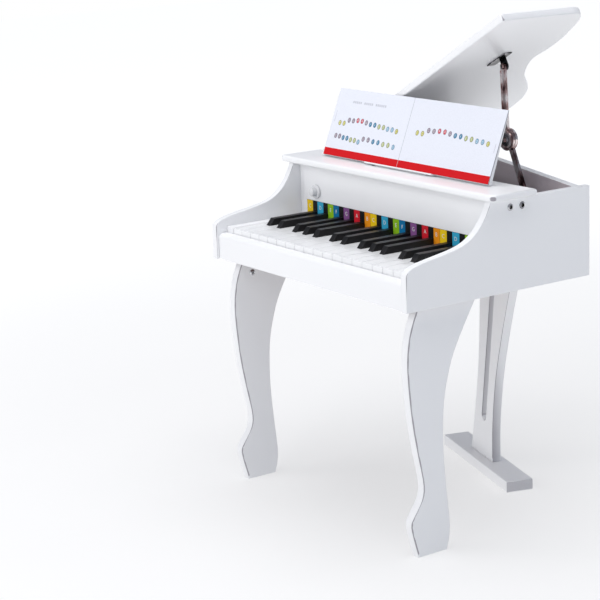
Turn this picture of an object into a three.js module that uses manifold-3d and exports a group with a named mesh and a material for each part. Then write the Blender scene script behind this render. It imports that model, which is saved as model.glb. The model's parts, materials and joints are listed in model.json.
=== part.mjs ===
// Child's free-standing wooden toy grand piano with 30 keys.
// Millimetres. +X runs from bass to treble, +Y from the player to the tail, +Z up, floor at z = 0.
import * as THREE from 'three';
import Module from 'manifold-3d';
import { mergeVertices } from 'three/addons/utils/BufferGeometryUtils.js';

const wasm = await Module();
wasm.setup();

// ---------- driving dimensions ----------
const GAP = 0.3;                 // air between pieces that touch
const CASE_HALF = 241.7;         // half of the case's outer width
const PANEL = 12;                // case panel thickness
const CASE_BOTTOM = 357.5;
const RIM_TOP = 487.6;
const SEAT_TOP = 489.1;          // side panels rise to this under the top board
const RIGHT_DEPTH = 330;
const LEFT_DEPTH = 481;
const WALL_ANGLE = THREE.MathUtils.degToRad(17.3);
const WALL_AT_RIGHT = 316;       // outer face of the diagonal wall at x = CASE_HALF
const EDGE = 1.2;                // rounding on panel edges

const KEY_PITCH = 23.5;
const WHITE_KEYS = 18;
const KEY_GAP = 0.5;
const KEY_FRONT = 19.7;
const KEY_TOP = 405.8;
const KEY_BOTTOM = 391;
const KEY_REAR = 196;
const BLACK_WIDTH = 11.4;
const BLACK_FRONT = 69.4;
const BLACK_RISE = 10;
const BLACK_REAR = 157.4;        // the raised cap ends just in front of the fallboard
// a black key's centre, from the boundary between its white neighbours
const BLACK_SHIFT = { 1: -1.8, 2: 2.6, 4: -3.2, 5: 0, 6: 3.2 };

const FALL_FRONT = 159;
const BOARD_BOTTOM = 489.4;
const BOARD_THICK = 10;
const BOARD_HALF = 255.5;
const BOARD_FRONT = 138.5;
const BOARD_REAR = 218.6;

const LEG_OUTER = 223;
const LEG_THICK = 15;

const FOOT = new THREE.Vector2(20.3, 334.5);   // where the rear post's front right edge stands
const BAR_HEIGHT = 18;
const POST_THICK = 15;

const LID_PIVOT = new THREE.Vector3(-247, 0, 486.4);
const LID_OPEN = THREE.MathUtils.degToRad(28.2);
const LID_LIFT = 2.9;            // underside above the pivot when the lid is shut
const LID_THICK = 11;
const LID_FRONT = 219.5;
const LID_RIGHT = 249;

const STAY_Y = 328;
const DRUM_RADIUS = 16.5;
const STAY_HALF = 5;              // half of a stay arm's width
const STAY_LID = new THREE.Vector2(65.8, 642.8);     // the stay's three pivots in X and Z
const STAY_KNEE = new THREE.Vector2(72, 535.4);
const STAY_CASE = new THREE.Vector2(124.5, 416.5);

const DESK_TILT = THREE.MathUtils.degToRad(21.5);
const DESK_BASE = new THREE.Vector3(0, 177.9, 503.4);  // lower front edge of the book
const DESK_HALF = 198;
const DESK_HEIGHT = 101;
const LEDGE_HALF = 80;
const DESK_THICK = 5;
const BOOK_HALF = 196;
const BOOK_SHIFT = 4;             // the book lies a little to the right
const BOOK_FOLD = -11.7;          // its fold, from its own middle
const BOOK_HEIGHT = 106;
const BOOK_THICK = 2.4;

const KNOB = new THREE.Vector3(-186, FALL_FRONT, 447);

// the plan above is drawn from the case's middle and the panels' front ends; this moves the
// origin under the middle of the whole toy
const PLAN_MIDDLE = new THREE.Vector3(-1.242, 264.5, 0);

// ---------- materials ----------
const finish = (color, roughness, metalness = 0) =>
  new THREE.MeshStandardMaterial({ color, roughness, metalness });
const WHITE_PAINT = finish(0xf4f4f6, 0.3);
const WHITE_PLASTIC = finish(0xfafafa, 0.25);
const BLACK_PLASTIC = finish(0x0c0c0d, 0.35);
const STEEL = finish(0xb9b4b0, 0.25, 1);
const CIRCUIT = finish(0x1f5a36, 0.5);
const PAPER = finish(0xf2f4fb, 0.7);

// ---------- helpers ----------
const piano = new THREE.Group();
piano.position.copy(PLAN_MIDDLE).negate();
const X = new THREE.Vector3(1, 0, 0);
const Y = new THREE.Vector3(0, 1, 0);
const Z = new THREE.Vector3(0, 0, 1);

function add(name, geometry, material, parent = piano) {
  const mesh = new THREE.Mesh(geometry, material);
  mesh.name = name;
  parent.add(mesh);
  return mesh;
}

function extrude(shape, depth, edge = 0, curveSegments = 4) {
  const geometry = new THREE.ExtrudeGeometry(shape, {
    depth: depth - 2 * edge,
    curveSegments,
    bevelEnabled: edge > 0,
    bevelThickness: edge,
    bevelSize: edge,
    bevelOffset: -edge,
    bevelSegments: edge > 2.5 ? 4 : 2,
  });
  geometry.translate(0, 0, edge);
  return geometry;
}

// a shape drawn in (y, z), extruded towards +X from x0
function sideways(shape, x0, depth, edge, curveSegments) {
  const basis = new THREE.Matrix4().makeBasis(Y, Z, X).setPosition(x0, 0, 0);
  return extrude(shape, depth, edge, curveSegments).applyMatrix4(basis);
}

// a shape drawn in (x, z), extruded towards -Y from y1
function frontways(shape, y1, depth, edge, curveSegments) {
  const basis = new THREE.Matrix4().makeBasis(X, Z, Y.clone().negate()).setPosition(0, y1, 0);
  return extrude(shape, depth, edge, curveSegments).applyMatrix4(basis);
}

// a shape drawn in (x, y), extruded up from z0
function flat(shape, z0, depth, edge, curveSegments) {
  return extrude(shape, depth, edge, curveSegments).translate(0, 0, z0);
}

function polygon(points) {
  return new THREE.Shape(points.map(([a, b]) => new THREE.Vector2(a, b)));
}

function box(x0, x1, y0, y1, z0, z1) {
  const geometry = new THREE.BoxGeometry(x1 - x0, y1 - y0, z1 - z0);
  return geometry.translate((x0 + x1) / 2, (y0 + y1) / 2, (z0 + z1) / 2);
}

// a cylinder along Y from y0 to y1
function discY(x, z, radius, y0, y1, segments = 32) {
  const geometry = new THREE.CylinderGeometry(radius, radius, y1 - y0, segments);
  return geometry.translate(x, (y0 + y1) / 2, z);
}

function roundHole(x, y, radius) {
  const hole = new THREE.Path();
  hole.absarc(x, y, radius, 0, Math.PI * 2, true);
  return hole;
}

function toSolid(geometry) {
  const plain = geometry.clone();
  plain.deleteAttribute('normal');
  plain.deleteAttribute('uv');
  const merged = mergeVertices(plain, 1e-4);
  return new wasm.Manifold(new wasm.Mesh({
    numProp: 3,
    vertProperties: new Float32Array(merged.attributes.position.array),
    triVerts: new Uint32Array(merged.index.array),
  }));
}

function toGeometry(solid) {
  const mesh = solid.getMesh();
  const geometry = new THREE.BufferGeometry();
  geometry.setAttribute('position', new THREE.BufferAttribute(mesh.vertProperties, 3));
  geometry.setIndex(new THREE.BufferAttribute(mesh.triVerts, 1));
  geometry.computeVertexNormals();
  return geometry;
}

function joined(...geometries) {
  return toGeometry(geometries.map(toSolid).reduce((whole, piece) => whole.add(piece)));
}

function cut(geometry, ...tools) {
  return toGeometry(tools.map(toSolid).reduce((whole, tool) => whole.subtract(tool), toSolid(geometry)));
}

// a flat bar with round ends between two pivots in (x, z)
function link(from, to, halfWidth, y1, depth) {
  const along = to.clone().sub(from);
  const angle = along.angle();
  const shape = new THREE.Shape();
  shape.absarc(from.x, from.y, halfWidth, angle + Math.PI / 2, angle + Math.PI * 1.5, false);
  shape.absarc(to.x, to.y, halfWidth, angle - Math.PI / 2, angle + Math.PI / 2, false);
  shape.closePath();
  return frontways(shape, y1, depth, 0, 8);
}

const wallOuter = (x) => WALL_AT_RIGHT + (CASE_HALF - x) * Math.tan(WALL_ANGLE);
const wallInner = (x) => wallOuter(x) - PANEL / Math.cos(WALL_ANGLE);

// ---------- case ----------
function cheekShape(depth) {
  const shape = new THREE.Shape();
  shape.moveTo(0, CASE_BOTTOM);
  shape.lineTo(0, 406);
  shape.bezierCurveTo(1, 413, 5, 415.5, 12, 418);
  shape.bezierCurveTo(35, 425.5, 72, 427, 97, 435);
  shape.bezierCurveTo(121, 443, 139, 465, 147.6, SEAT_TOP);
  shape.lineTo(BOARD_REAR, SEAT_TOP);
  shape.lineTo(BOARD_REAR, RIM_TOP);
  shape.lineTo(depth, RIM_TOP);
  shape.lineTo(depth, CASE_BOTTOM);
  shape.closePath();
  return shape;
}

function buildCase() {
  const inner = CASE_HALF - PANEL;
  add('left_side_panel', sideways(cheekShape(LEFT_DEPTH), -CASE_HALF, PANEL, EDGE, 8), WHITE_PAINT);
  add('right_side_panel', sideways(cheekShape(RIGHT_DEPTH), inner, PANEL, EDGE, 8), WHITE_PAINT);

  const reach = inner - GAP;
  const wall = polygon([
    [-reach, wallInner(-reach)], [reach, wallInner(reach)],
    [reach, wallOuter(reach)], [-reach, wallOuter(-reach)],
  ]);
  add('back_panel', flat(wall, CASE_BOTTOM, RIM_TOP - CASE_BOTTOM, 0.8), WHITE_PAINT);

  const bottomFront = KEY_FRONT - 0.3;
  const bottom = polygon([
    [-reach, bottomFront], [reach, bottomFront],
    [reach, wallInner(reach) - GAP], [-reach, wallInner(-reach) - GAP],
  ]);
  bottom.holes.push(roundHole(-110, 290, 34));
  bottom.holes.push(new THREE.Path(
    [[35, 215], [35, 285], [145, 285], [145, 215]].map(([a, b]) => new THREE.Vector2(a, b))));
  add('bottom_board', flat(bottom, CASE_BOTTOM, PANEL, 0, 8), WHITE_PAINT);

  const slip = new THREE.Shape();
  slip.moveTo(4, CASE_BOTTOM);
  slip.lineTo(4, 389.5);
  slip.quadraticCurveTo(4.4, 396.5, 11.5, 396.8);
  slip.lineTo(KEY_FRONT - 0.7, 396.8);
  slip.lineTo(KEY_FRONT - 0.7, CASE_BOTTOM);
  slip.closePath();
  add('keyslip', sideways(slip, -reach, 2 * reach, 0, 6), WHITE_PAINT);

  const keysHalf = WHITE_KEYS * KEY_PITCH / 2;
  for (const [name, x0, x1] of [
    ['key_block_left', -reach, -keysHalf - GAP],
    ['key_block_right', keysHalf + GAP, reach],
  ]) {
    const block = polygon([
      [KEY_FRONT - 0.4, PANEL + CASE_BOTTOM + GAP], [KEY_FRONT - 0.4, KEY_TOP + 0.4],
      [FALL_FRONT - GAP, KEY_TOP + 0.4], [FALL_FRONT - GAP, PANEL + CASE_BOTTOM + GAP],
    ]);
    add(name, sideways(block, x0, x1 - x0, 0.6), WHITE_PAINT);
  }

  const fall = new THREE.Shape();
  const fallBottom = KEY_TOP + 1.4;
  const fallTop = BOARD_BOTTOM - GAP;
  fall.moveTo(-reach, fallBottom);
  fall.lineTo(reach, fallBottom);
  fall.lineTo(reach, fallTop);
  fall.lineTo(-reach, fallTop);
  fall.closePath();
  fall.holes.push(roundHole(KNOB.x, KNOB.z, 4));
  add('fallboard', frontways(fall, FALL_FRONT + PANEL, PANEL, 0, 6), WHITE_PAINT);
}

function buildTopBoard() {
  const shape = new THREE.Shape();
  const corner = 10;
  shape.moveTo(BOARD_HALF, BOARD_REAR);
  shape.lineTo(-BOARD_HALF, BOARD_REAR);
  shape.absarc(-BOARD_HALF + corner, BOARD_FRONT + corner, corner, Math.PI, Math.PI * 1.5, false);
  shape.absarc(BOARD_HALF - corner, BOARD_FRONT + corner, corner, -Math.PI / 2, 0, false);
  shape.closePath();
  const board = flat(shape, BOARD_BOTTOM, BOARD_THICK, 3.6, 6);
  const slot = box(-66, 66, 176, 186.5, BOARD_BOTTOM - 1, BOARD_BOTTOM + BOARD_THICK + 1);
  add('top_board', cut(board, slot), WHITE_PAINT);
}

// ---------- keyboard ----------
const whiteLeft = (index) => (index - WHITE_KEYS / 2) * KEY_PITCH;

// black keys sit after the white keys whose place in the octave is C, D, F, G or A
const blackCentres = [];
for (let index = 0; index < WHITE_KEYS - 1; index += 1) {
  const place = index % 7 + 1;
  if (BLACK_SHIFT[place] !== undefined) {
    blackCentres.push(whiteLeft(index + 1) + BLACK_SHIFT[place]);
  }
}

function buildWhiteKey(index) {
  const x0 = whiteLeft(index) + KEY_GAP / 2;
  const x1 = whiteLeft(index + 1) - KEY_GAP / 2;
  const clear = BLACK_WIDTH / 2 + 0.6;
  const leftBlack = blackCentres.find((x) => Math.abs(x - whiteLeft(index)) < 5);
  const rightBlack = blackCentres.find((x) => Math.abs(x - whiteLeft(index + 1)) < 5);
  const xa = leftBlack === undefined ? x0 : leftBlack + clear;
  const xb = rightBlack === undefined ? x1 : rightBlack - clear;
  const notch = BLACK_FRONT - 1;
  const outline = [[x0, KEY_FRONT], [x1, KEY_FRONT]];
  if (xb < x1) outline.push([x1, notch], [xb, notch]);
  outline.push([xb, KEY_REAR], [xa, KEY_REAR]);
  if (xa > x0) outline.push([xa, notch], [x0, notch]);
  const name = `white_key_${String(index + 1).padStart(2, '0')}`;
  add(name, flat(polygon(outline), KEY_BOTTOM, KEY_TOP - KEY_BOTTOM, 0.7), WHITE_PLASTIC);
}

function buildBlackKey(centre, index) {
  const top = KEY_TOP + BLACK_RISE;
  const profile = polygon([
    [BLACK_FRONT, KEY_BOTTOM], [BLACK_FRONT, KEY_TOP], [BLACK_FRONT + 8.5, top],
    [BLACK_REAR, top], [BLACK_REAR, KEY_TOP - 0.8], [KEY_REAR, KEY_TOP - 0.8],
    [KEY_REAR, KEY_BOTTOM],
  ]);
  const name = `black_key_${String(index + 1).padStart(2, '0')}`;
  add(name, sideways(profile, centre - BLACK_WIDTH / 2, BLACK_WIDTH, 1), BLACK_PLASTIC);
}

function buildKeyboard() {
  for (let index = 0; index < WHITE_KEYS; index += 1) buildWhiteKey(index);
  blackCentres.forEach(buildBlackKey);

  // chassis: a tray under the keys with a fulcrum rail at the rear and a stop rail in front
  const half = WHITE_KEYS * KEY_PITCH / 2 - 0.4;
  const base = PANEL + CASE_BOTTOM + GAP;
  const tray = polygon([
    [22, base], [22, 384], [34, 384], [34, base + 3], [176, base + 3], [176, KEY_BOTTOM - GAP],
    [198, KEY_BOTTOM - GAP], [198, base],
  ]);
  add('key_frame', sideways(tray, -half, 2 * half, 0), BLACK_PLASTIC);
  add('contact_board', box(-half + 8, half - 8, 60, 150, base + 3.4, base + 5), CIRCUIT);
  const stripHalf = WHITE_KEYS * KEY_PITCH / 2;
  add('note_strip', box(-stripHalf, stripHalf, FALL_FRONT - 0.8, FALL_FRONT - 0.3,
    KEY_TOP + 1.8, KEY_TOP + 26), PAPER);
}

// ---------- sound: volume knob and loudspeaker ----------
function buildSound() {
  const profile = [
    [0, -17], [3.2, -17], [3.2, 0.6], [11, 0.6], [11, 2.6], [9.6, 3.6], [6.9, 3.9],
    [6.4, 10.2], [5.4, 11.4], [0, 11.6],
  ].map(([r, y]) => new THREE.Vector2(r, y));
  const knob = new THREE.LatheGeometry(profile, 32);
  knob.rotateX(Math.PI);
  knob.translate(KNOB.x, KNOB.y, KNOB.z);
  add('volume_knob', knob, WHITE_PLASTIC);

  const cone = [
    [0, 8], [12, 8], [26, 2.5], [32, 2.5], [32, 0], [38, 0], [38, 4], [30, 9], [19, 18],
    [19, 28], [0, 28],
  ].map(([r, y]) => new THREE.Vector2(r, y));
  const speaker = new THREE.LatheGeometry(cone, 40);
  speaker.rotateX(Math.PI / 2);
  speaker.translate(-110, 290, CASE_BOTTOM + PANEL + GAP);
  add('loudspeaker', speaker, BLACK_PLASTIC);

  const cover = box(35.5, 144.5, 215.5, 284.5, CASE_BOTTOM, CASE_BOTTOM + 3);
  add('battery_cover', cover, WHITE_PLASTIC);
}

// ---------- legs, rear post and foot bar ----------
function legShape() {
  const shape = new THREE.Shape();
  shape.moveTo(33, CASE_BOTTOM - GAP);
  shape.splineThru([
    [20, 325], [13.8, 290], [14.5, 250], [20, 196], [28.5, 148], [36.8, 106],
    [34, 84], [20, 63], [14, 50], [17.5, 30], [26, 0],
  ].map(([a, b]) => new THREE.Vector2(a, b)));
  shape.lineTo(76, 0);
  shape.splineThru([
    [82.5, 32], [77.5, 90], [73.5, 150], [75.5, 211], [85, 256], [100, 294],
    [137, CASE_BOTTOM - GAP],
  ].map(([a, b]) => new THREE.Vector2(a, b)));
  shape.closePath();
  return shape;
}

function postShape() {
  const shape = new THREE.Shape();
  shape.moveTo(0, BAR_HEIGHT + GAP);
  shape.splineThru([
    [2, 80], [15.5, 157], [40.5, 233], [69.8, 306], [92, CASE_BOTTOM - GAP],
  ].map(([a, b]) => new THREE.Vector2(a, b)));
  shape.lineTo(-38, CASE_BOTTOM - GAP);
  shape.splineThru([
    [-41.5, 285], [-51, 175], [-64, 105], [-84, BAR_HEIGHT + GAP],
  ].map(([a, b]) => new THREE.Vector2(a, b)));
  shape.closePath();

  // the long slot follows the post's lean
  const slot = new THREE.Path();
  const half = 8;
  const foot = new THREE.Vector2(-32, 86);
  const head = new THREE.Vector2(14, 332);
  const lean = head.clone().sub(foot).angle();
  slot.absarc(foot.x, foot.y, half, lean - Math.PI / 2, lean - Math.PI * 1.5, true);
  slot.absarc(head.x, head.y, half, lean + Math.PI / 2, lean - Math.PI / 2, true);
  slot.closePath();
  shape.holes.push(slot);
  return shape;
}

function buildStand() {
  add('right_leg', sideways(legShape(), LEG_OUTER - LEG_THICK, LEG_THICK, 2, 3), WHITE_PAINT);
  add('left_leg', sideways(legShape(), -LEG_OUTER, LEG_THICK, 2, 3), WHITE_PAINT);

  // the post and its bar stand parallel to the diagonal wall
  const along = new THREE.Vector3(Math.cos(WALL_ANGLE), -Math.sin(WALL_ANGLE), 0);
  const toFront = new THREE.Vector3(-Math.sin(WALL_ANGLE), -Math.cos(WALL_ANGLE), 0);
  const back = toFront.clone().multiplyScalar(1.5 - POST_THICK);
  const postFrame = new THREE.Matrix4().makeBasis(along, Z, toFront)
    .setPosition(FOOT.x + back.x, FOOT.y + back.y, 0);
  add('rear_post', extrude(postShape(), POST_THICK, 1.6, 4).applyMatrix4(postFrame), WHITE_PAINT);

  const barFrame = new THREE.Matrix4().makeBasis(along, toFront.clone().negate(), Z)
    .setPosition(FOOT.x, FOOT.y, 0);
  const bar = polygon([[-162, -17.5], [92, -17.5], [92, 25.5], [-162, 25.5]]);
  add('rear_foot_bar', extrude(bar, BAR_HEIGHT, 1.6).applyMatrix4(barFrame), WHITE_PAINT);
}

// ---------- lid, its hinge and its folding stay ----------
function lidShape() {
  const shape = new THREE.Shape();
  const left = -253;
  shape.moveTo(left, LID_FRONT + 4);
  shape.quadraticCurveTo(left, LID_FRONT, left + 4, LID_FRONT);
  shape.lineTo(LID_RIGHT - 4, LID_FRONT);
  shape.quadraticCurveTo(LID_RIGHT, LID_FRONT, LID_RIGHT, LID_FRONT + 4);
  shape.lineTo(LID_RIGHT, 349);
  shape.splineThru([
    [243, 368], [220, 385], [190, 395], [156, 404.5], [120, 407], [92, 403],
    [68, 409], [40, 424], [8, 446], [-34, 485], [-62, 506], [-96, 522], [-137, 529],
  ].map(([a, b]) => new THREE.Vector2(a, b)));
  shape.lineTo(left + 22, 529);
  shape.absarc(left + 22, 507, 22, Math.PI / 2, Math.PI, false);
  shape.closePath();
  return shape;
}

function buildLid() {
  const leaf = new THREE.Group();
  leaf.position.copy(LID_PIVOT);
  leaf.rotation.y = -LID_OPEN;
  piano.add(leaf);
  const shut = (geometry) => geometry.translate(-LID_PIVOT.x, 0, -LID_PIVOT.z);

  const underside = LID_PIVOT.z + LID_LIFT;
  add('lid', shut(flat(lidShape(), underside, LID_THICK, 2.2, 3)), WHITE_PAINT, leaf);

  // one long hinge: the moving leaf lies under the lid, the fixed leaf on the side panel
  const y0 = 250;
  const y1 = 450;
  const middle = (y0 + y1) / 2;
  const barrel = (a, b) => discY(LID_PIVOT.x, LID_PIVOT.z, 2.4, a, b, 16);
  const bore = discY(LID_PIVOT.x, LID_PIVOT.z, 1.5, y0 - 1, y1 + 1, 16);
  const movingLeaf = box(LID_PIVOT.x + 1, LID_PIVOT.x + 24, y0, middle - 0.5, underside - 1.3, underside - GAP);
  const moving = cut(joined(barrel(y0, middle - 0.5), movingLeaf), bore);
  add('lid_hinge_moving_leaf', shut(moving), STEEL, leaf);

  const face = -CASE_HALF - GAP;
  const fixedLeaf = box(face - 1.2, face, y0, y1, RIM_TOP - 26, RIM_TOP - 3);
  const tab = box(LID_PIVOT.x - 0.6, face - 0.4, middle + 0.5, y1, LID_PIVOT.z - 2, LID_PIVOT.z + 1);
  const fixed = cut(joined(barrel(middle + 0.5, y1), tab, fixedLeaf), bore);
  add('lid_hinge_fixed_leaf', fixed, STEEL);
  add('lid_hinge_pin', discY(LID_PIVOT.x, LID_PIVOT.z, 1.2, y0 - 1.5, y1 + 1.5, 12), STEEL);

  // stay bracket: a plate under the lid with an ear that carries the upper pivot
  const pivot = STAY_LID.clone().sub(new THREE.Vector2(LID_PIVOT.x, LID_PIVOT.z)).rotateAround(
    new THREE.Vector2(), -LID_OPEN);
  const plateTop = LID_LIFT - GAP;
  const plate = box(pivot.x - 22, pivot.x + 22, STAY_Y - 13, STAY_Y + 1.6, plateTop - 1.6, plateTop);
  const ear = joined(
    discY(pivot.x, pivot.y, 6.5, STAY_Y - 0.4, STAY_Y + 1.6, 24),
    box(pivot.x - 6.5, pivot.x + 6.5, STAY_Y - 0.4, STAY_Y + 1.6, pivot.y, plateTop - 0.8));
  const pin = discY(pivot.x, pivot.y, 2, STAY_Y - 7.4, STAY_Y + 2.4, 16);
  add('stay_lid_bracket', joined(plate, ear, pin), STEEL, leaf);
}

function buildStay() {
  // upper arm: a flat bar with a hole for the bracket's pin and a round friction plate at the knee
  const upperFront = STAY_Y - 5;
  const upperDepth = 3.6;
  const upper = joined(
    link(STAY_LID, STAY_KNEE, STAY_HALF, upperFront + upperDepth, upperDepth),
    discY(STAY_KNEE.x, STAY_KNEE.y, DRUM_RADIUS, upperFront, upperFront + upperDepth, 40));
  const hole = discY(STAY_LID.x, STAY_LID.y, 2.6, STAY_Y - 9, STAY_Y + 4, 16);
  add('stay_upper_arm', cut(upper, hole), STEEL);

  // lower arm: carries the friction drum behind the plate
  const lower = joined(
    link(STAY_KNEE, STAY_CASE, STAY_HALF, STAY_Y + 3, 3.6),
    discY(STAY_KNEE.x, STAY_KNEE.y, DRUM_RADIUS, STAY_Y - 0.6, STAY_Y + 4, 40));
  const lowerHole = discY(STAY_CASE.x, STAY_CASE.y, 2.6, STAY_Y - 6, STAY_Y + 8, 16);
  add('stay_lower_arm', cut(lower, lowerHole), STEEL);

  // wedge block on the diagonal wall, with the pin of the lower pivot
  const xa = STAY_CASE.x - 16;
  const xb = STAY_CASE.x + 16;
  const front = STAY_Y + 3.6;
  const wedge = flat(polygon([
    [xa, front], [xb, front], [xb, Math.max(wallInner(xb) - GAP, front + 1)], [xa, wallInner(xa) - GAP],
  ]), STAY_CASE.y - 18, 36, 0);
  const pin = discY(STAY_CASE.x, STAY_CASE.y, 2, STAY_Y - 3, front + 1, 16);
  add('stay_case_bracket', joined(wedge, pin), STEEL);
}

// ---------- music desk and song book ----------
function buildDesk() {
  const desk = new THREE.Group();
  desk.position.copy(DESK_BASE);
  desk.rotation.x = -DESK_TILT;
  piano.add(desk);
  // in this frame y runs back through the desk and z runs up its face
  const face = BOOK_THICK + GAP;
  const plate = sideways(polygon([
    [face, -0.5], [face + DESK_THICK + 1.5, -0.5], [face + 1.8, DESK_HEIGHT], [face, DESK_HEIGHT],
  ]), -DESK_HALF, 2 * DESK_HALF, 0.5);
  const ledge = box(-LEDGE_HALF, LEDGE_HALF, -3.5, face + 0.9, -2.4, -GAP);
  const tenon = box(-62, 62, face + 0.5, face + 4.5, -12.5, -0.6);
  add('music_desk', joined(plate, ledge, tenon), WHITE_PAINT, desk);

  // the open book: two leaves that meet in a shallow fold
  const fold = polygon([
    [-BOOK_HALF, 0.4], [-BOOK_HALF + 30, 0], [BOOK_FOLD - 14, 0.1], [BOOK_FOLD, 0.9],
    [BOOK_FOLD + 14, 0.1], [BOOK_HALF - 30, 0],
    [BOOK_HALF, 0.4], [BOOK_HALF, BOOK_THICK], [-BOOK_HALF, BOOK_THICK],
  ]);
  add('song_book', flat(fold, 0, BOOK_HEIGHT, 0).translate(BOOK_SHIFT, 0, 0), PAPER, desk);
}

buildCase();
buildTopBoard();
buildKeyboard();
buildSound();
buildStand();
buildLid();
buildStay();
buildDesk();

export default piano;
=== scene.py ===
"""Child's free-standing toy grand piano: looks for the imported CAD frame. Metres, +Z up."""
import json
import math
import bmesh
import bpy
from mathutils import Matrix, Vector


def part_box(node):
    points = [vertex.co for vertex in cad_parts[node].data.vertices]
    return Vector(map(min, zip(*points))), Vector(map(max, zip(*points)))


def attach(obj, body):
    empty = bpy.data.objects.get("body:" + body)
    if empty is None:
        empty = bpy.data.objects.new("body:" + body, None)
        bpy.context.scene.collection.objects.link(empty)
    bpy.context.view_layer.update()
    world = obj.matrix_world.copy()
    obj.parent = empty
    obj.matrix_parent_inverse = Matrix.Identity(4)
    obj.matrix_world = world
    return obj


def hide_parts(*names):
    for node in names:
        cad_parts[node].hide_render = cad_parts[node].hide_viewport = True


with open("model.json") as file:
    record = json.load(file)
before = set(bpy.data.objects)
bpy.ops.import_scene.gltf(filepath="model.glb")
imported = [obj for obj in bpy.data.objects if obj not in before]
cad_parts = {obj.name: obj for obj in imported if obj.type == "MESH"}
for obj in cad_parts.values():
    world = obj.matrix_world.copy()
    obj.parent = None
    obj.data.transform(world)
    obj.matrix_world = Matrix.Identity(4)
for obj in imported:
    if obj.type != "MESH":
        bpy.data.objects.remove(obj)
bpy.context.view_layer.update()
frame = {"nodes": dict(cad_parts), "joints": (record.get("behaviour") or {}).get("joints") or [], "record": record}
NODES = frame["nodes"]
BODY_OF = {n: body for body, names in frame["record"]["behaviour"]["bodies"].items() for n in names}
JOINTS = {joint["name"]: joint for joint in frame["joints"]}
MM = 0.001
PLAN_X, PLAN_Y = 0.001242, -0.2645   # from the case's middle and front to the frame's origin


# ---------- node helpers ----------
class Shader:
    """A material whose nodes are added one by one."""

    def __init__(self, name):
        self.material = bpy.data.materials.new(name)
        self.material.use_nodes = True
        self.tree = self.material.node_tree
        self.bsdf = self.tree.nodes["Principled BSDF"]

    def node(self, kind, **values):
        made = self.tree.nodes.new(kind)
        for key, value in values.items():
            if hasattr(made, key):
                setattr(made, key, value)
            else:
                made.inputs[key.replace("_", " ")].default_value = value
        return made

    def link(self, source, target):
        self.tree.links.new(source, target)

    def place(self, scale=(1, 1, 1)):
        coordinates = self.node("ShaderNodeTexCoord")
        mapping = self.node("ShaderNodeMapping")
        mapping.inputs["Scale"].default_value = scale
        self.link(coordinates.outputs["Object"], mapping.inputs["Vector"])
        return mapping.outputs["Vector"]

    def noise(self, scale, detail=4, roughness=0.5, stretch=(1, 1, 1)):
        made = self.node("ShaderNodeTexNoise", Scale=scale, Detail=detail, Roughness=roughness)
        self.link(self.place(stretch), made.inputs["Vector"])
        return made.outputs["Fac"]

    def ramp(self, fac, *stops):
        made = self.node("ShaderNodeValToRGB")
        elements = made.color_ramp.elements
        while len(elements) < len(stops):
            elements.new(0.5)
        for element, (position, color) in zip(elements, stops):
            element.position = position
            element.color = (*color, 1)
        self.link(fac, made.inputs["Fac"])
        return made.outputs["Color"]

    def range(self, fac, low, high):
        made = self.node("ShaderNodeMapRange")
        made.inputs["To Min"].default_value = low
        made.inputs["To Max"].default_value = high
        self.link(fac, made.inputs["Value"])
        return made.outputs["Result"]

    def smoothstep(self, value, low, high, out_low=0.0, out_high=1.0):
        """Goes smoothly from out_low to out_high while a value goes from low to high."""
        made = self.node("ShaderNodeMapRange", interpolation_type="SMOOTHSTEP")
        ends = {"From Min": low, "From Max": high, "To Min": out_low, "To Max": out_high}
        for socket, end in ends.items():
            made.inputs[socket].default_value = end
        self.link(value, made.inputs["Value"])
        return made.outputs["Result"]

    def mix(self, fac, a, b):
        made = self.node("ShaderNodeMix", data_type="RGBA")
        self.link(fac, made.inputs["Factor"])
        for source, target in ((a, made.inputs["A"]), (b, made.inputs["B"])):
            if isinstance(source, tuple):
                target.default_value = (*source, 1)
            else:
                self.link(source, target)
        return made.outputs["Result"]

    def bump(self, height, strength, distance):
        made = self.node("ShaderNodeBump", Strength=strength, Distance=distance)
        self.link(height, made.inputs["Height"])
        self.link(made.outputs["Normal"], self.bsdf.inputs["Normal"])

    def facing(self, direction, low, high):
        """1 where the surface's normal lies along a fixed direction, 0 where it doesn't."""
        geometry = self.node("ShaderNodeNewGeometry")
        dot = self.node("ShaderNodeVectorMath", operation="DOT_PRODUCT")
        dot.inputs[1].default_value = Vector(direction).normalized()
        self.link(geometry.outputs["Normal"], dot.inputs[0])
        return self.smoothstep(dot.outputs["Value"], low, high)

    def done(self, color, roughness, **constants):
        """The material, with its colour, its roughness and any constant inputs."""
        self.link(color, self.bsdf.inputs["Base Color"])
        if isinstance(roughness, float):
            self.bsdf.inputs["Roughness"].default_value = roughness
        else:
            self.link(roughness, self.bsdf.inputs["Roughness"])
        for key, value in constants.items():
            self.bsdf.inputs[key.replace("_", " ")].default_value = value
        return self.material


# ---------- materials ----------
# painted dark reflection: the rounded front right corners show as thin dark lines, so faces that look this way
# are toned dark; the direction is fixed in the room, whatever the view
DARK_REFLECTION_ANGLE = math.radians(49)
DARK_REFLECTION_DIRECTION = (math.sin(DARK_REFLECTION_ANGLE), -math.cos(DARK_REFLECTION_ANGLE), 0)
DARK_REFLECTION_TONE = (0.30, 0.28, 0.31)

# the slanting back panel's inner face: raw board with painted shade low down, paler from one height up to the
# other, to a rim with a pink painted reflection
WALL_ANGLE = math.radians(17.3)
WALL_INWARD = (-math.sin(WALL_ANGLE), -math.cos(WALL_ANGLE), 0)
RAW_AND_SHADE_UP_TO, PALE_FROM = 0.425, 0.470
PALE_REFLECTION_RIM = (0.95, 0.84, 0.87)
# the stay's steel is tinted with painted reflection: dark and mid brown from the room round it, and pale
# highlights
REFLECTED_ROOM_TONES = ((0.07, 0.035, 0.035), (0.50, 0.34, 0.33), (0.88, 0.82, 0.81))


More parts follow.
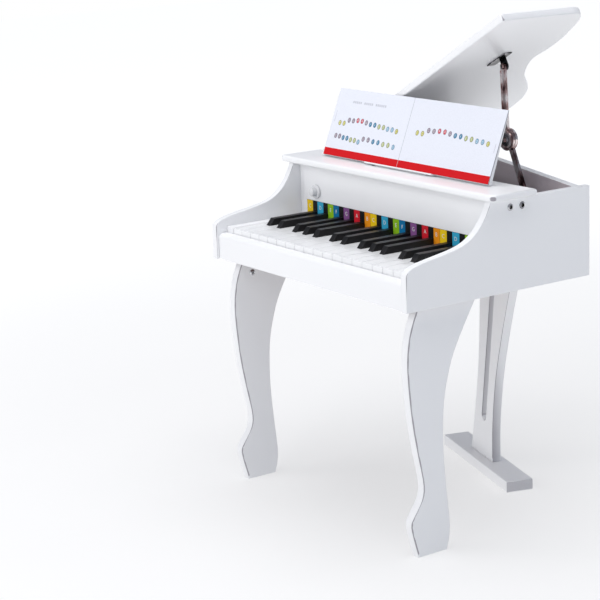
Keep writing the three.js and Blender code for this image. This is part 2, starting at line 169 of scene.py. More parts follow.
def white_paint(name="white_gloss_paint", raw_shade_direction=None):
    """Sprayed gloss paint with a faint orange peel, toned dark as painted reflection on faces that look along one
    fixed direction. Faces that look in the raw direction show raw board with painted shade low down and a pale rim
    with a pink painted reflection.
    """
    s = Shader(name)
    cloud = s.noise(5, detail=3)
    tint = s.ramp(cloud, (0.3, (0.895, 0.897, 0.91)), (0.7, (0.912, 0.915, 0.925)))
    # painted dark reflection on faces that look along the fixed direction
    dark_reflection_mask = s.facing(DARK_REFLECTION_DIRECTION, 0.86, 0.96)
    color = s.mix(s.range(dark_reflection_mask, 0, 0.9), tint, DARK_REFLECTION_TONE)
    if raw_shade_direction:
        fibre = s.noise(260, detail=6, roughness=0.65, stretch=(1, 1, 2.5))
        # raw board, darkened further as painted shade
        board = s.ramp(fibre, (0.3, (0.06, 0.028, 0.028)), (0.75, (0.13, 0.075, 0.075)))
        height = s.node("ShaderNodeSeparateXYZ")
        s.link(s.place(), height.inputs["Vector"])
        # painted shade low down fading up to the pale rim with its pink painted reflection
        shade_fade = s.smoothstep(height.outputs["Z"], RAW_AND_SHADE_UP_TO, PALE_FROM)
        shaded_inside = s.mix(shade_fade, board, PALE_REFLECTION_RIM)
        color = s.mix(s.facing(raw_shade_direction, 0.8, 0.9), color, shaded_inside)
    peel = s.noise(420, detail=2)
    s.bump(peel, 0.03, 0.0002)
    return s.done(color, s.range(s.noise(9), 0.3, 0.36), Coat_Weight=0.12, Coat_Roughness=0.15,
                  Specular_IOR_Level=0.38)


def raw_board():
    """Unpainted fibreboard, for the bottom board."""
    s = Shader("raw_fibreboard")
    fibre = s.noise(240, detail=7, roughness=0.7)
    color = s.ramp(fibre, (0.3, (0.10, 0.06, 0.055)), (0.75, (0.2, 0.13, 0.12)))
    s.bump(fibre, 0.3, 0.0005)
    return s.done(color, s.range(fibre, 0.7, 0.9))


def plastic(name, low, high, roughness, coat=0.0, peel=0.05, shine=0.5):
    """Moulded plastic that drifts between two colours and two roughnesses."""
    s = Shader(name)
    cloud = s.noise(55, detail=4)
    s.bump(s.noise(900, detail=2), peel, 0.0003)
    color = s.ramp(cloud, (0.3, low), (0.7, high))
    return s.done(color, s.range(s.noise(90), *roughness), Coat_Weight=coat, Coat_Roughness=0.1,
                  Specular_IOR_Level=shine)


def plated_steel(name, tones, grain=(1, 1, 0.04)):
    """Plating over drawn steel: fine lines along the grain, and patches in three tones."""
    s = Shader(name)
    lines = s.noise(1500, detail=3, stretch=grain)
    patches = s.noise(70, detail=3, stretch=(1, 1, 0.45))
    color = s.ramp(patches, *zip((0.40, 0.50, 0.60), tones))
    s.bump(lines, 0.12, 0.0002)
    return s.done(color, s.range(lines, 0.16, 0.3), Metallic=1.0)


def paper(name, color, roughness=(0.55, 0.7)):
    """Paper, or ink printed on it, a little uneven in colour."""
    s = Shader(name)
    pulp = s.noise(700, detail=5)
    pale = tuple(min(1, value * 1.03) for value in color)
    dark = tuple(value * 0.96 for value in color)
    s.bump(pulp, 0.08, 0.0002)
    shade = s.ramp(pulp, (0.3, dark), (0.7, pale))
    return s.done(shade, s.range(pulp, *roughness), Specular_IOR_Level=0.15)


def key_plastic():
    """Gloss white moulding, with painted shade on the sides that face the gaps between the keys."""
    s = Shader("white_key_plastic")
    tint = s.ramp(s.noise(40), (0.3, (0.86, 0.865, 0.872)), (0.7, (0.89, 0.892, 0.9)))
    # painted shade on the key sides that face the gaps
    gap_shade = s.node("ShaderNodeMath", operation="MAXIMUM")
    s.link(s.facing((1, 0, 0), 0.6, 0.95), gap_shade.inputs[0])
    s.link(s.facing((-1, 0, 0), 0.6, 0.95), gap_shade.inputs[1])
    color = s.mix(gap_shade.outputs["Value"], tint, (0.5, 0.5, 0.53))
    s.bump(s.noise(700, detail=2), 0.03, 0.0002)
    return s.done(color, s.range(s.noise(60), 0.16, 0.26), Coat_Weight=0.3, Coat_Roughness=0.1)


WHITE = white_paint()
WALL_PAINT_WITH_SHADE = white_paint("white_paint_raw_shaded_inside", WALL_INWARD)
RAW = raw_board()
KEY_WHITE = key_plastic()
KEY_BLACK = plastic("black_key_plastic", (0.006, 0.006, 0.007), (0.014, 0.013, 0.014), (0.3, 0.45),
                    peel=0.1, shine=0.22)
DARK_PLASTIC = plastic("dark_moulded_plastic", (0.012, 0.012, 0.013), (0.03, 0.03, 0.032), (0.45, 0.6),
                       peel=0.2)
KNOB_WHITE = plastic("white_knob_plastic", (0.8, 0.8, 0.815), (0.86, 0.86, 0.87), (0.2, 0.32), coat=0.2)
STEEL = plated_steel("plated_steel", REFLECTED_ROOM_TONES)
HINGE_STEEL = plated_steel("hinge_steel", ((0.5, 0.49, 0.5), (0.6, 0.59, 0.6), (0.68, 0.67, 0.68)),
                           grain=(1, 0.04, 1))
DARK_PLATE = plated_steel("dark_plate_steel",
                          ((0.03, 0.03, 0.032), (0.1, 0.095, 0.1), (0.45, 0.43, 0.45)))
BOLT_STEEL = plated_steel("bolt_steel", ((0.25, 0.25, 0.27), (0.5, 0.5, 0.52), (0.75, 0.75, 0.77)),
                          grain=(1, 1, 1))
# sockets and cross recesses: painted shade
RECESS_SHADE_STEEL = plated_steel("recess_shade_steel",
                          ((0.02, 0.02, 0.02), (0.05, 0.048, 0.05), (0.09, 0.09, 0.09)), grain=(1, 1, 1))
BOARD_GREEN = plastic("circuit_laminate", (0.012, 0.09, 0.035), (0.02, 0.14, 0.055), (0.3, 0.45))

NOTES = list("CDEFGAB")
NOTE_COLORS = {
    "C": (0.85, 0.58, 0.01), "D": (0.04, 0.40, 0.62), "E": (0.26, 0.50, 0.015), "F": (0.004, 0.16, 0.36),
    "G": (0.24, 0.09, 0.27), "A": (0.68, 0.015, 0.03), "B": (0.85, 0.29, 0.01),
}
NOTE_INK = {note: paper(f"ink_{note}", color, (0.35, 0.5)) for note, color in NOTE_COLORS.items()}
BOOK_COLORS = {
    "C": (0.55, 0.52, 0.09), "D": (0.20, 0.42, 0.60), "E": (0.42, 0.47, 0.17), "F": (0.015, 0.20, 0.37),
    "G": (0.27, 0.20, 0.27), "A": (0.62, 0.07, 0.11), "B": (0.70, 0.36, 0.10),
}
BOOK_INK = {note: paper(f"book_ink_{note}", color) for note, color in BOOK_COLORS.items()}
LETTER_INK = paper("letter_ink", (0.78, 0.79, 0.76))
BLACK_INK = paper("black_ink", (0.008, 0.008, 0.009), (0.35, 0.5))
PAGE = paper("page_paper", (0.79, 0.81, 0.88))
# grey page edges and fold line are painted shade
PAGE_EDGE_SHADE = paper("page_edge_shade", (0.42, 0.44, 0.48))
RED_INK = paper("red_ink", (0.64, 0.006, 0.011))
GREY_INK = paper("grey_ink", (0.22, 0.22, 0.25))
PALE_INK = paper("pale_ink", (0.56, 0.57, 0.63))


# ---------- mesh helpers ----------
def piece(name, vertices, faces, material, body, slots=None, smooth=None):
    """A new object that rides on a body. slots gives each face's material index."""
    mesh = bpy.data.meshes.new(name)
    mesh.from_pydata([tuple(v) for v in vertices], [], faces)
    made = bpy.data.objects.new(name, mesh)
    bpy.context.scene.collection.objects.link(made)
    for one in material if isinstance(material, (list, tuple)) else [material]:
        mesh.materials.append(one)
    if slots:
        mesh.polygons.foreach_set("material_index", slots)
    if smooth is not None:
        mesh.polygons.foreach_set("use_smooth", [True] * len(mesh.polygons))
        mesh.set_sharp_from_angle(angle=math.radians(smooth))
    mesh.update()
    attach(made, body)
    return made


def finished(node, material, angle=50):
    """The CAD node's own shape, welded and smooth shaded, in its finish."""
    source = NODES[node].data
    work = bmesh.new()
    work.from_mesh(source)
    bmesh.ops.remove_doubles(work, verts=work.verts, dist=1e-6)
    bmesh.ops.dissolve_degenerate(work, edges=work.edges, dist=1e-7)
    bmesh.ops.recalc_face_normals(work, faces=work.faces)
    work.verts.ensure_lookup_table()
    vertices = [v.co.copy() for v in work.verts]
    faces = [[v.index for v in face.verts] for face in work.faces]
    work.free()
    made = piece(f"{node}_finish", vertices, faces, material, BODY_OF[node], smooth=angle)
    even = made.modifiers.new("even_shading", "WEIGHTED_NORMAL")
    even.keep_sharp = True
    even.weight = 100
    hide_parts(node)
    return made


def paint_node(node, material):
    """Gives a CAD node that is already right its finish."""
    mesh = NODES[node].data
    mesh.materials.clear()
    mesh.materials.append(material)
    mesh.polygons.foreach_set("material_index", [0] * len(mesh.polygons))


def around(radius, angle, height):
    """A point at a radius, an angle and a height about Z."""
    return Vector((radius * math.cos(angle), radius * math.sin(angle), height))


def lathe(profile, segments, unit=1.0):
    """Vertices and faces of a profile of (radius, height) turned round Z. unit scales the profile."""
    vertices, faces, rings = [], [], []
    for radius, height in profile:
        points = segments if radius else 1
        rings.append([len(vertices) + step for step in range(points)])
        for step in range(points):
            vertices.append(around(unit * radius, 2 * math.pi * step / segments, unit * height))
    for low, high in zip(rings, rings[1:]):
        for step in range(segments):
            after = (step + 1) % segments
            a = [low[step % len(low)], low[after % len(low)]]
            b = [high[after % len(high)], high[step % len(high)]]
            face = list(dict.fromkeys(a + b))
            if len(face) > 2:
                faces.append(face)
    return vertices, faces


def aim(axis, at):
    """Turns +Z onto axis and moves the origin to a point."""
    turn = Vector((0, 0, 1)).rotation_difference(Vector(axis))
    return Matrix.Translation(Vector(at)) @ turn.to_matrix().to_4x4()


def joined(parts):
    """One list of vertices and faces from several, with a material index for each part."""
    vertices, faces, slots = [], [], []
    for part_vertices, part_faces, index in parts:
        base = len(vertices)
        vertices += part_vertices
        faces += [[base + i for i in face] for face in part_faces]
        slots += [index] * len(part_faces)
    return vertices, faces, slots


def slab(x0, x1, y0, y1, z0, z1):
    """A box between two values on each axis."""
    corners = [Vector((x, y, z)) for z in (z0, z1) for y in (y0, y1) for x in (x0, x1)]
    return corners, [(0, 2, 3, 1), (4, 5, 7, 6), (0, 1, 5, 4), (2, 6, 7, 3), (0, 4, 6, 2), (1, 3, 7, 5)]


def socket_bolt(name, at, axis, radius, body):
    """A low bolt head with a hexagonal socket in painted shade."""
    segments = 36
    socket = radius * 0.5     # from the middle to a flat of the socket

    def hexagon(angle):
        return socket / math.cos((angle % (math.pi / 3)) - math.pi / 6)

    vertices, faces, slots = [], [], []
    # from the seat over the rim to the socket's floor
    rings = [
        (lambda a: radius, 0), (lambda a: radius * 0.98, radius * 0.14),
        (lambda a: radius * 0.86, radius * 0.26), (lambda a: hexagon(a) * 1.08, radius * 0.3),
        (hexagon, radius * 0.24), (hexagon, radius * 0.02),
    ]
    last = len(rings) - 1
    for index, (reach, height) in enumerate(rings):
        for step in range(segments):
            angle = 2 * math.pi * step / segments
            vertices.append(around(reach(angle), angle, height))
        if index:
            for step in range(segments):
                after = (step + 1) % segments
                low, high = (index - 1) * segments, index * segments
                faces.append([low + step, low + after, high + after, high + step])
                slots.append(1 if index == last else 0)
    faces.append([last * segments + step for step in range(segments)])
    slots.append(1)
    faces.append(list(reversed(range(segments))))
    slots.append(0)
    place = aim(axis, at)
    piece(name, [place @ v for v in vertices], faces, [BOLT_STEEL, RECESS_SHADE_STEEL], body, slots, smooth=35)


# a screw head's profile and the cross in it, as shares of its radius
SCREW_PROFILE = [(0, 0), (1, 0), (0.97, 0.16), (0.75, 0.34), (0.4, 0.43), (0, 0.45)]
CROSS_ARM, CROSS_HALF_WIDTH, CROSS_FOOT = 0.56, 0.13, 0.3
CROSS_TOPS = (0.458, 0.459)      # the two bars differ a little so that they don't share a face


def cross_screw(name, at, axis, radius, body, turn=0.4):
    """A low domed screw head. Two thin dark bars of painted shade stand for its cross recess."""
    dome, dome_faces = lathe(SCREW_PROFILE, 28, radius)
    arm, wide, foot = radius * CROSS_ARM, radius * CROSS_HALF_WIDTH, radius * CROSS_FOOT
    first_top, second_top = [radius * top for top in CROSS_TOPS]
    bars = [slab(-arm, arm, -wide, wide, foot, first_top), slab(-wide, wide, -arm, arm, foot, second_top)]
    vertices, faces, slots = joined([(dome, dome_faces, 0)] + [(v, f, 1) for v, f in bars])
    place = aim(axis, at) @ Matrix.Rotation(turn, 4, "Z")
    piece(name, [place @ v for v in vertices], faces, [BOLT_STEEL, RECESS_SHADE_STEEL], body, slots, smooth=35)


def letter(character, height):
    """A flat letter as vertices and faces, centred on the origin in X and Y."""
    curve = bpy.data.curves.new("letter", "FONT")
    curve.body = character
    curve.size = height
    curve.resolution_u = 3
    curve.align_x = "CENTER"
    curve.align_y = "CENTER"
    holder = bpy.data.objects.new("letter", curve)
    bpy.context.scene.collection.objects.link(holder)
    depsgraph = bpy.context.evaluated_depsgraph_get()
    mesh = bpy.data.meshes.new_from_object(holder.evaluated_get(depsgraph))
    vertices = [v.co.copy() for v in mesh.vertices]
    faces = [list(p.vertices) for p in mesh.polygons]
    bpy.data.objects.remove(holder)
    bpy.data.curves.remove(curve)
    bpy.data.meshes.remove(mesh)
    middle = sum(vertices, Vector()) / len(vertices)
    return [v - middle for v in vertices], faces


def oval(half_width, half_height):
    """A flat oval face, centred on the origin."""
    segments = 20
    angles = [2 * math.pi * step / segments for step in range(segments)]
    vertices = [Vector((half_width * math.cos(a), half_height * math.sin(a), 0)) for a in angles]
    return vertices, [list(range(segments))]


# stands a flat shape up, so that it faces the player
UPRIGHT = Matrix.Rotation(math.pi / 2, 4, "X")


def stood(part, offset):
    """A flat shape stood upright and moved to a point."""
    vertices, faces = part
    place = Matrix.Translation(Vector(offset)) @ UPRIGHT
    return [place @ v for v in vertices], faces


# ---------- painted wooden parts ----------
for node in ("left_side_panel", "right_side_panel", "top_board", "keyslip", "right_leg", "left_leg",
             "rear_post", "rear_foot_bar", "lid", "music_desk", "key_block_left", "key_block_right",
             "fallboard"):
    finished(node, WHITE)
finished("back_panel", WALL_PAINT_WITH_SHADE)
paint_node("bottom_board", RAW)

# ---------- keyboard ----------
for node in sorted(NODES):
    if node.startswith("white_key"):
        finished(node, KEY_WHITE, 40)
    if node.startswith("black_key"):
        finished(node, KEY_BLACK, 40)
paint_node("key_frame", DARK_PLASTIC)
paint_node("contact_board", BOARD_GREEN)
paint_node("battery_cover", KNOB_WHITE)
finished("loudspeaker", DARK_PLASTIC)
finished("volume_knob", KNOB_WHITE)

# ---------- metal ----------
for node in ("stay_upper_arm", "stay_lower_arm"):
    finished(node, STEEL)
for node in ("lid_hinge_moving_leaf", "lid_hinge_fixed_leaf", "lid_hinge_pin"):
    finished(node, HINGE_STEEL)
for node in ("stay_lid_bracket", "stay_case_bracket"):
    finished(node, DARK_PLATE)


def note_labels():
    """The printed strip behind the keys: one coloured cell for each white key, black between."""
    low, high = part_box("note_strip")
    y = low.y
    blacks = sorted((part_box(n)[0].x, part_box(n)[1].x) for n in NODES if n.startswith("black_key"))
    whites = sorted((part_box(n)[0].x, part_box(n)[1].x) for n in NODES if n.startswith("white_key"))
    parts = [(*slab(low.x, high.x, y, high.y, low.z, high.z), 0)]
    glyphs = {note: letter(note, 8.5 * MM) for note in NOTES}
    margin = 0.2 * MM      # black above and below the cells
    gap = 0.4 * MM         # black between a cell and a black key's side
    near = 1.5 * MM        # a black key's side this close to a cell's end cuts the cell too
    top, bottom = high.z - margin, low.z + margin
    for index, (x0, x1) in enumerate(whites):
        note = NOTES[index % 7]
        for b0, b1 in blacks:
            if b0 < x0 < b1 or abs(b1 - x0) < near:
                x0 = b1 + gap
            if b0 < x1 < b1 or abs(b0 - x1) < near:
                x1 = b0 - gap
        corners = ((x0, bottom), (x1, bottom), (x1, top), (x0, top))
        cell = [Vector((x, y - 0.06 * MM, z)) for x, z in corners]
        parts.append((cell, [[0, 1, 2, 3]], 1 + NOTES.index(note)))
        middle = Vector(((x0 + x1) / 2, y - 0.1 * MM, bottom + 0.62 * (top - bottom)))
        parts.append((*stood(glyphs[note], middle), 8))
    vertices, faces, slots = joined(parts)
    made = piece("note_label_strip", vertices, faces,
                 [BLACK_INK] + [NOTE_INK[n] for n in NOTES] + [LETTER_INK], "case", slots)
    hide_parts("note_strip")


note_labels()


# ---------- song book ----------
BOOK_TILT = math.radians(21.5)
BOOK_THICK = 2.4 * MM
BOOK_TALL = 106 * MM
BOOK_FOLD = -11.7 * MM      # from the book's middle
RED_BAND = 11.3 * MM        # height of the band along the foot of the pages

# each run of notes: page (0 left, 1 right), first and last place across it, height of a C
MELODY = (
    ("CCGGAAGFFEEDDC", 0, 0.114, 0.887, 0.490), ("GGFFEED", 0, 0.106, 0.429, 0.240),
    ("GGFFEED", 0, 0.488, 0.897, 0.252), ("CCGGAAGFFEEDDC", 1, 0.133, 0.893, 0.520),
)
PITCH_STEP = 0.0138         # rise from one note to the next, as a share of the page's height
HEADING_WORDS = (5, 5, 6)   # blocks in each word of the heading
MARGIN_LINES = ((-1, 0.50, 0.16), (1, 0.42, 0.12))   # side, foot and length, as shares of the height

book_low, book_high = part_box("song_book")
BOOK_HALF = (book_high.x - book_low.x) / 2
BOOK_BASE = Vector(((book_low.x + book_high.x) / 2, book_low.y,
                    book_low.z + BOOK_THICK * math.sin(BOOK_TILT)))
ON_DESK = Matrix.Translation(BOOK_BASE) @ Matrix.Rotation(-BOOK_TILT, 4, "X")


def page_front(u):
    """Depth of the page's face: it dips into the fold and bows a little towards its outer edge."""
    near = abs(u - BOOK_FOLD) / BOOK_HALF
    return 1.35 * MM * math.exp(-near * 20) + 0.35 * MM * near ** 3


def page_sheet():
    """The two open pages as one bent sheet, red along the foot."""
    steps, sheet = 72, 0.15 * MM
    edges = [-BOOK_HALF + 2 * BOOK_HALF * i / steps for i in range(steps)] + [BOOK_HALF]
    columns = sorted([BOOK_FOLD] + edges)
    levels = [0, RED_BAND, BOOK_TALL]
    count = len(levels)
    vertices = [Vector((u, page_front(u) + back, v))
                for back in (0, sheet) for u in columns for v in levels]
    behind = len(columns) * count
    faces, slots = [], []
    for i in range(len(columns) - 1):
        for j in range(count - 1):
            a, b = i * count + j, (i + 1) * count + j
            faces.append([a, b, b + 1, a + 1])
            faces.append([behind + a, behind + a + 1, behind + b + 1, behind + b])
            slots += [1 - j, 0]
        low_a, low_b = i * count, (i + 1) * count
        top_a, top_b = low_a + count - 1, low_b + count - 1
        faces.append([low_a, behind + low_a, behind + low_b, low_b])
        faces.append([top_a, top_b, behind + top_b, behind + top_a])
        slots += [0, 0]
    for start, flip in ((0, 1), ((len(columns) - 1) * count, -1)):
        for j in range(count - 1):
            a = start + j
            faces.append([a, a + 1, behind + a + 1, behind + a][::flip])
            slots.append(0)
    return vertices, faces, slots


def book_pages():
    """The open pages, and the leaves behind them that show at the edges in painted shade."""
    vertices, faces, slots = page_sheet()
    for layer in range(4):
        near = (0.55 + 0.45 * layer) * MM
        inset = 0.4 * MM * (layer % 2)
        for side in (-1, 1):
            x0, x1 = sorted((BOOK_FOLD + side * 12 * MM, side * (BOOK_HALF - inset)))
            leaf, leaf_faces = slab(x0, x1, near, near + 0.3 * MM, 0.1 * MM, BOOK_TALL - inset)
            start = len(vertices)
            vertices += leaf
            faces += [[start + i for i in face] for face in leaf_faces]
            slots += [2] * len(leaf_faces)
    made = piece("song_book_pages", [ON_DESK @ v for v in vertices], faces, [PAGE, RED_INK, PAGE_EDGE_SHADE],
                 "music_desk", slots, smooth=30)
    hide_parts("song_book")


def book_notes():
    """Rows of ringed dots, each with its note's colour and letter."""
    glyphs = {note: letter(note, 5.6 * MM) for note in NOTES}
    parts = []
    for melody, page, start, end, level in MELODY:
        for index, note in enumerate(melody):
            share = start + (end - start) * index / (len(melody) - 1)
            if page:
                u = BOOK_FOLD + (BOOK_HALF - BOOK_FOLD) * share
            else:
                u = -BOOK_HALF + (BOOK_HALF + BOOK_FOLD) * share
            v = (level + PITCH_STEP * NOTES.index(note)) * BOOK_TALL
            y = page_front(u) - 0.05 * MM
            parts.append((*stood(oval(3.7 * MM, 4.1 * MM), (u, y, v)), 7))
            parts.append((*stood(oval(3.1 * MM, 3.5 * MM), (u, y - 0.04 * MM, v)), NOTES.index(note)))
            parts.append((*stood(glyphs[note], (u, y - 0.08 * MM, v)), 8))
    vertices, faces, slots = joined(parts)
    piece("song_book_note_dots", [ON_DESK @ v for v in vertices], faces,
          [BOOK_INK[n] for n in NOTES] + [GREY_INK, LETTER_INK], "music_desk", slots)


def book_print():
    """Plain pale blocks stand for the printed heading and margins, and a line of painted shade marks the fold."""
    parts = []
    cursor = -BOOK_HALF + 0.22 * (BOOK_HALF + BOOK_FOLD)
    foot, head = 0.80 * BOOK_TALL, 0.834 * BOOK_TALL
    for word in HEADING_WORDS:
        for _ in range(word):
            y = page_front(cursor)
            parts.append((*slab(cursor, cursor + 3.2 * MM, y - 0.05 * MM, y, foot, head), 0))
            cursor += 4.6 * MM
        cursor += 5.5 * MM
    half_line = 0.35 * MM
    for side, foot, span in MARGIN_LINES:
        edge = side * (BOOK_HALF - 6 * MM)
        parts.append((*slab(edge - half_line, edge + half_line, 0.1 * MM, 0.25 * MM, foot * BOOK_TALL,
                            (foot + span) * BOOK_TALL), 0))
    y = page_front(BOOK_FOLD)
    parts.append((*slab(BOOK_FOLD - half_line, BOOK_FOLD + half_line, y - 0.08 * MM, y, 0.2 * MM,
                        BOOK_TALL - 0.2 * MM), 1))
    vertices, faces, slots = joined(parts)
    piece("song_book_print", [ON_DESK @ v for v in vertices], faces, [PALE_INK, PAGE_EDGE_SHADE],
          "music_desk", slots)


book_pages()
book_notes()
book_print()


# ---------- fasteners ----------
SIDE_BOLT_PLACES = (0.1823 + PLAN_Y, 0.2038 + PLAN_Y)
LEG_NUT_PLACE, LEG_NUT_HEIGHT = 0.048 + PLAN_Y, 0.332


def fasteners():
    """Bolts, nuts and screws that are too small for the CAD."""
    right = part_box("right_side_panel")[1].x
    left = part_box("left_side_panel")[0].x
    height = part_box("back_panel")[1].z - 11 * MM
    for index, y in enumerate(SIDE_BOLT_PLACES):
        socket_bolt(f"side_bolt_right_{index + 1}", (right, y, height), (1, 0, 0), 5.2 * MM, "case")
        socket_bolt(f"side_bolt_left_{index + 1}", (left, y, height), (-1, 0, 0), 5.2 * MM, "case")
    legs = (("left_leg", 1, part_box("left_leg")[1].x), ("right_leg", -1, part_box("right_leg")[0].x))
    for node, side, x in legs:
        cross_screw(f"{node}_barrel_nut", (x, LEG_NUT_PLACE, LEG_NUT_HEIGHT), (side, 0, 0), 5 * MM, "case",
                    turn=0.9)
    low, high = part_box("battery_cover")
    middle = (low.x + high.x) / 2
    cross_screw("battery_cover_screw", (middle, high.y - 8 * MM, low.z), (0, 0, -1), 3 * MM, "case")
    low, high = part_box("lid_hinge_fixed_leaf")
    for index in range(5):
        y = low.y + (0.12 + 0.19 * index) * (high.y - low.y)
        cross_screw(f"hinge_screw_{index + 1}", (left - 1.4 * MM, y, low.z + 9 * MM), (-1, 0, 0), 2.4 * MM,
                    "case", turn=index * 1.3)


fasteners()


# ---------- lid stay ----------
# profiles of (radius, height) in millimetres
CAP_PROFILE = [
    (0, 0), (14, 0), (14, 0.7), (13, 1.3), (9.6, 1.3), (9.2, 0.6), (6.4, 0.6), (6, 1.8), (3.6, 2.2),
    (2.8, 1.2), (1.8, 1.2), (1.2, 2.4), (0, 2.5),
]
DRUM_BACK_PROFILE = [(0, 0), (15, 0), (14.4, 0.6), (6, 0.6), (5, 1.4), (0, 1.6)]
RIVET_PROFILE = [(0, 0), (4.2, 0), (4.0, 0.9), (2.6, 1.7), (0, 2.0)]
GROOVE = (5.5 * MM, 9.7 * MM)    # the cap's dark ring lies between these radii
PLATE_RADIUS = 16.5 * MM


def stay_flanges(name, knee, pivot, front, body):
    """The two folded flanges that stiffen an arm between the knee and its other pivot."""
    along = Vector((pivot.x - knee.x, 0, pivot.z - knee.z))
    length = along.length
    along.normalize()
    across = Vector((along.z, 0, -along.x))
    parts = []
    for side in (-1, 1):
        flange, flange_faces = slab(19 * MM, length - 6 * MM, -1.2 * MM, 0.2 * MM, -0.5 * MM, 0.5 * MM)
        origin = Vector((knee.x, front, knee.z)) + across * side * 4.5 * MM
        turned = [origin + along * v.x + Vector((0, 1, 0)) * v.y + across * v.z for v in flange]
        parts.append((turned, flange_faces, 0))
    vertices, faces, slots = joined(parts)
    piece(name, vertices, faces, STEEL, body, slots)


def stay_details():
    """The knee's cap and back plate, the arms' flanges and the rivets of the two end pivots."""
    lower_pivot = Vector(JOINTS["stay_lower_pivot"]["pos_m"])
    upper_pivot = Vector(JOINTS["stay_upper_pivot"]["pos_m"])
    upper_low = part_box("stay_upper_arm")[0]
    lower_low, lower_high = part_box("stay_lower_arm")
    # the knee is the middle of the friction plate at the upper arm's lower end
    knee = Vector((upper_low.x + PLATE_RADIUS, upper_low.y, upper_low.z + PLATE_RADIUS))

    cap, cap_faces = lathe(CAP_PROFILE, 56, MM)
    shades = []
    for face in cap_faces:
        reach = max(math.hypot(cap[i].x, cap[i].y) for i in face)
        shades.append(1 if GROOVE[0] < reach < GROOVE[1] else 0)
    place = aim((0, -1, 0), knee)
    piece("stay_friction_cap", [place @ v for v in cap], cap_faces, [STEEL, DARK_PLATE], "stay_upper_arm",
          shades, smooth=30)

    rim, rim_faces = lathe(DRUM_BACK_PROFILE, 56, MM)
    place = aim((0, 1, 0), (knee.x, lower_high.y, knee.z))
    piece("stay_drum_back", [place @ v for v in rim], rim_faces, STEEL, "stay_lower_arm", smooth=30)

    stay_flanges("stay_upper_flanges", knee, upper_pivot, upper_low.y, "stay_upper_arm")
    stay_flanges("stay_lower_flanges", knee, lower_pivot, lower_low.y + 3.0 * MM, "stay_lower_arm")
    for name, pivot, front, body in (
            ("stay_upper_rivet", upper_pivot, upper_low.y - 0.3 * MM, "lid"),
            ("stay_lower_rivet", lower_pivot, lower_low.y, "case")):
        dome, dome_faces = lathe(RIVET_PROFILE, 32, MM)
        place = aim((0, -1, 0), (pivot.x, front, pivot.z))
        piece(name, [place @ v for v in dome], dome_faces, STEEL, body, smooth=35)


stay_details()


# ---------- floor, light and camera ----------
LIGHT_TARGET = (0, -0.05, 0.4)
WARM, COOL = (1.0, 0.985, 0.965), (0.7, 0.82, 1.0)


def area_light(name, at, size, power, color):
    """A rectangular lamp aimed at the toy. power is in watts."""
    data = bpy.data.lights.new(name, "AREA")
    data.shape = "RECTANGLE"
    data.size, data.size_y = size
    data.energy = power
    data.color = color
    lamp = bpy.data.objects.new(name, data)
    lamp.location = at
    lamp.rotation_euler = (Vector(LIGHT_TARGET) - Vector(at)).to_track_quat("-Z", "Y").to_euler()
    bpy.context.scene.collection.objects.link(lamp)


def studio_floor():
    """A pale sheet that glows a little more away from the toy, as a lit backdrop does."""
    s = Shader("studio_floor")
    tint = s.ramp(s.noise(1.2, detail=3), (0.3, (0.44, 0.44, 0.443)), (0.7, (0.46, 0.46, 0.463)))
    away = s.node("ShaderNodeVectorMath", operation="LENGTH")
    s.link(s.place(), away.inputs[0])
    glow = s.smoothstep(away.outputs["Value"], 0.25, 3.2, 0.52, 0.88)
    s.link(glow, s.bsdf.inputs["Emission Strength"])
    s.done(tint, 0.95, Emission_Color=(1, 1, 1, 1), Specular_IOR_Level=0.1)
    mesh = bpy.data.meshes.new("floor")
    reach = 9.0
    corners = [(-reach, -reach, 0), (reach, -reach, 0), (reach, reach, 0), (-reach, reach, 0)]
    mesh.from_pydata(corners, [], [(0, 1, 2, 3)])
    mesh.materials.append(s.material)
    floor = bpy.data.objects.new("floor", mesh)
    bpy.context.scene.collection.objects.link(floor)


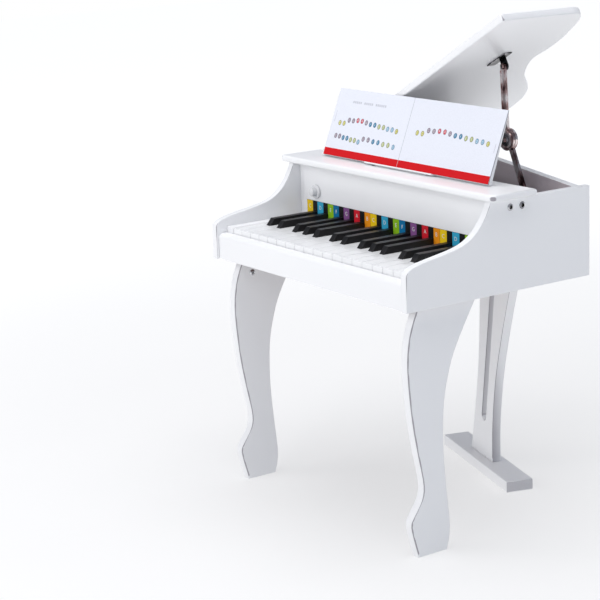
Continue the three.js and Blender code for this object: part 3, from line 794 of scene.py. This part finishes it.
def surroundings():
    """Faint cool light from all round, with plain white behind the toy."""
    world = bpy.data.worlds.new("studio")
    bpy.context.scene.world = world
    world.use_nodes = True
    tree = world.node_tree
    light = tree.nodes["Background"]
    light.inputs["Color"].default_value = (0.76, 0.84, 1.0, 1)
    light.inputs["Strength"].default_value = 0.3
    backdrop = tree.nodes.new("ShaderNodeBackground")
    backdrop.inputs["Color"].default_value = (1, 1, 1, 1)
    seen = tree.nodes.new("ShaderNodeLightPath")
    chosen = tree.nodes.new("ShaderNodeMixShader")
    tree.links.new(seen.outputs["Is Camera Ray"], chosen.inputs["Fac"])
    tree.links.new(light.outputs["Background"], chosen.inputs[1])
    tree.links.new(backdrop.outputs["Background"], chosen.inputs[2])
    tree.links.new(chosen.outputs["Shader"], tree.nodes["World Output"].inputs["Surface"])


def lamps():
    """A key and a soft top light, with weak cool fill on the treble side."""
    area_light("key_left_front", (-1.3, -3.1, 1.6), (2.4, 1.8), 33, WARM)
    area_light("front_high", (0.6, -2.4, 2.2), (1.4, 1.0), 14, WARM)
    area_light("top_soft", (0.1, 0, 2.8), (2.6, 2.6), 50, (1.0, 0.985, 0.975))
    area_light("right_low_fill", (2.7, -0.3, 0.45), (1.6, 0.9), 2.5, COOL)
    area_light("right_high_fill", (2.2, -1.2, 1.4), (1.2, 1.2), 1.5, (0.75, 0.85, 1.0))


def camera():
    """The photo's viewpoint: 56 degrees round to the right, looking 14 degrees down, slightly rolled."""
    around, down, roll = math.radians(55.84), math.radians(13.70), math.radians(-2.2)
    place = Vector((2.0675 + PLAN_X, -1.4091 + PLAN_Y, 0.94375))
    back = Vector((math.sin(around) * math.cos(down), -math.cos(around) * math.cos(down), math.sin(down)))
    right = Vector((math.cos(around), math.sin(around), 0))
    up = back.cross(right)
    rolled_right = math.cos(roll) * right + math.sin(roll) * up
    rolled_up = -math.sin(roll) * right + math.cos(roll) * up
    data = bpy.data.cameras.new("camera")
    data.lens = 107.6
    data.sensor_width = 36
    viewer = bpy.data.objects.new("camera", data)
    turn = Matrix((rolled_right, rolled_up, back)).transposed()
    viewer.matrix_world = Matrix.Translation(place) @ turn.to_4x4()
    bpy.context.scene.collection.objects.link(viewer)
    bpy.context.scene.camera = viewer


studio_floor()
surroundings()
lamps()
camera()
bpy.context.scene.view_settings.view_transform = "Standard"
